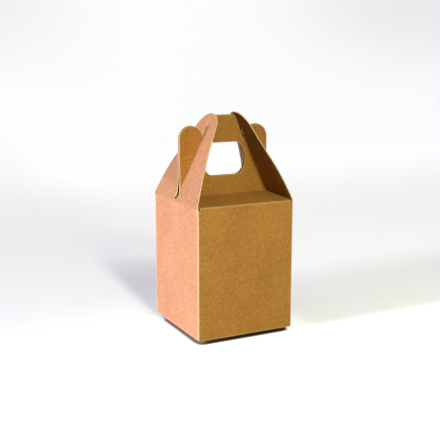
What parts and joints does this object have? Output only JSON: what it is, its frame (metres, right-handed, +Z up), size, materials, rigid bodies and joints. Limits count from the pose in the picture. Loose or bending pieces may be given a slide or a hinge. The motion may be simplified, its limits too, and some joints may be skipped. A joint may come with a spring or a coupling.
{
  "type": "basket gift box",
  "caption": "Folded kraft board gift box with a snap-lock bottom, a double carrying handle with a finger hole, and two hinged lock flaps slotted over the handle.",
  "frame": {"origin": "on the table under the middle of the box", "axes": "+Z up, front wall towards -Y, lock flaps at -X and +X"},
  "size_m": [0.06, 0.06, 0.1257],
  "materials": {
    "kraft_body": "uncoated kraft board with fine speckled fibre",
    "kraft_lid": "uncoated kraft board with fine speckled fibre",
    "kraft_flap": "uncoated kraft board, pale cut edges"
  },
  "bodies": {
    "carton": {"carton_body": "kraft_body", "front_lid_handle": "kraft_lid", "back_lid_handle": "kraft_lid"},
    "left_flap": {"left_flap_front_wing": "kraft_flap", "left_flap_back_wing": "kraft_flap", "left_flap_crown": "kraft_flap"},
    "right_flap": {"right_flap_front_wing": "kraft_flap", "right_flap_back_wing": "kraft_flap", "right_flap_crown": "kraft_flap"}
  },
  "joints": [
    {"name": "left_flap_fold", "type": "hinge", "parent": "carton", "child": "left_flap", "pos_m": [-0.02975, 0, 0.0774], "axis": [0, -1, 0], "range_deg": [0, 115]},
    {"name": "right_flap_fold", "type": "hinge", "parent": "carton", "child": "right_flap", "pos_m": [0.02975, 0, 0.0774], "axis": [0, 1, 0], "range_deg": [0, 115]}
  ]
}
